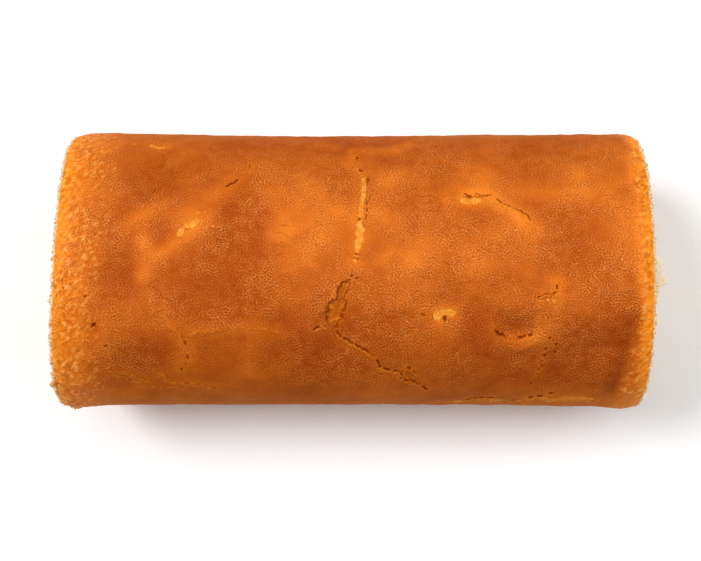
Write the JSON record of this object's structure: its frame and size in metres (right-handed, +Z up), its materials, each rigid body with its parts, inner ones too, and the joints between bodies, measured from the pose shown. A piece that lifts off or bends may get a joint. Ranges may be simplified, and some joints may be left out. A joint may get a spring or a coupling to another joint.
{
  "type": "swiss roll",
  "caption": "Rolled sponge cake with a browned, wrinkled and cracked crust, wound round a spiral of white cream that shows at the cut ends.",
  "frame": {"origin": "middle of the resting face, under the centre of the roll and the cream at its ends", "axes": "+X along the roll, towards the end where the cream is squeezed out; +Y towards the back, where the seam is tucked under; +Z up"},
  "size_m": [0.2327, 0.1078, 0.088],
  "materials": {
    "sponge": "browned baked crust outside, pale yellow porous crumb where cut",
    "cream": "soft whipped cream, slightly glossy"
  },
  "bodies": {
    "root": {"sponge": "sponge", "cream": "cream"}
  },
  "joints": []
}
